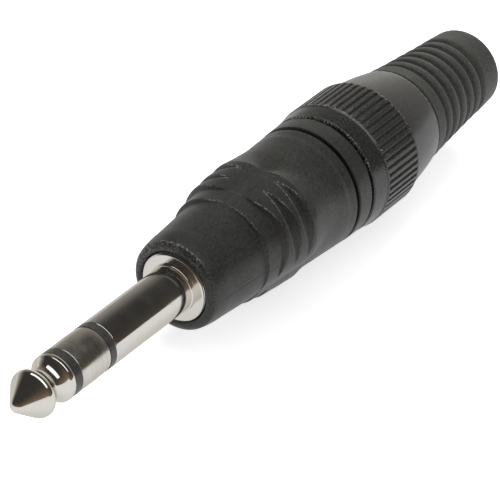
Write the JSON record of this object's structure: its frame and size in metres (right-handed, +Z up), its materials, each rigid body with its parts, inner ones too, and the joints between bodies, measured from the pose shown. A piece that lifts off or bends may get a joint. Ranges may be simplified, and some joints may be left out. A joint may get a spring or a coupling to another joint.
{
  "type": "jack connector",
  "caption": "Three-pole 6.35 mm jack plug with a lobed black grip shell, a knurled back nut and a ribbed rubber cable boot.",
  "frame": {"origin": "under the middle of the plug's length, on the plane that its knurl touches", "axes": "+X along the plug's axis towards the tip, +Z up, the plug lying on its side on the crown of one grip pad and on the knurl"},
  "size_m": [0.1021, 0.018, 0.0181],
  "materials": {
    "nickel": "nickel plated, polished",
    "tin": "tin plated, dull",
    "insulator": "moulded, satin",
    "washer": "punched sheet, matt",
    "shell": "moulded, fine spark texture",
    "marker": "moulded, satin",
    "chuck": "moulded, satin",
    "nut": "black finished, knurled",
    "boot": "moulded, matt"
  },
  "bodies": {
    "plug": {"tip_contact": "nickel", "tip_insulator": "insulator", "ring_contact": "nickel", "sleeve_insulator": "insulator", "sleeve_contact": "nickel", "earth_lug": "tin", "ring_lug_washer": "washer", "ring_lug": "tin", "tip_lug_washer": "washer", "tip_lug": "tin", "shell": "shell", "marker_ring": "marker"},
    "clamp": {"cable_chuck": "chuck"},
    "cap": {"back_nut": "nut", "boot": "boot"}
  },
  "joints": [
    {"name": "chuck_slide", "type": "slide", "parent": "plug", "child": "clamp", "axis": [-1, 0, 0], "range_m": [0, 0.0075]},
    {"name": "nut_turn", "type": "hinge", "parent": "clamp", "child": "cap", "pos_m": [-0.0225, 0, 0.00905], "axis": [-1, 0, 0], "range_deg": [0, 2160]}
  ],
  "couplings": [
    {"joint": "nut_turn", "follows": "chuck_slide", "rad_per_m": 5026.5}
  ]
}
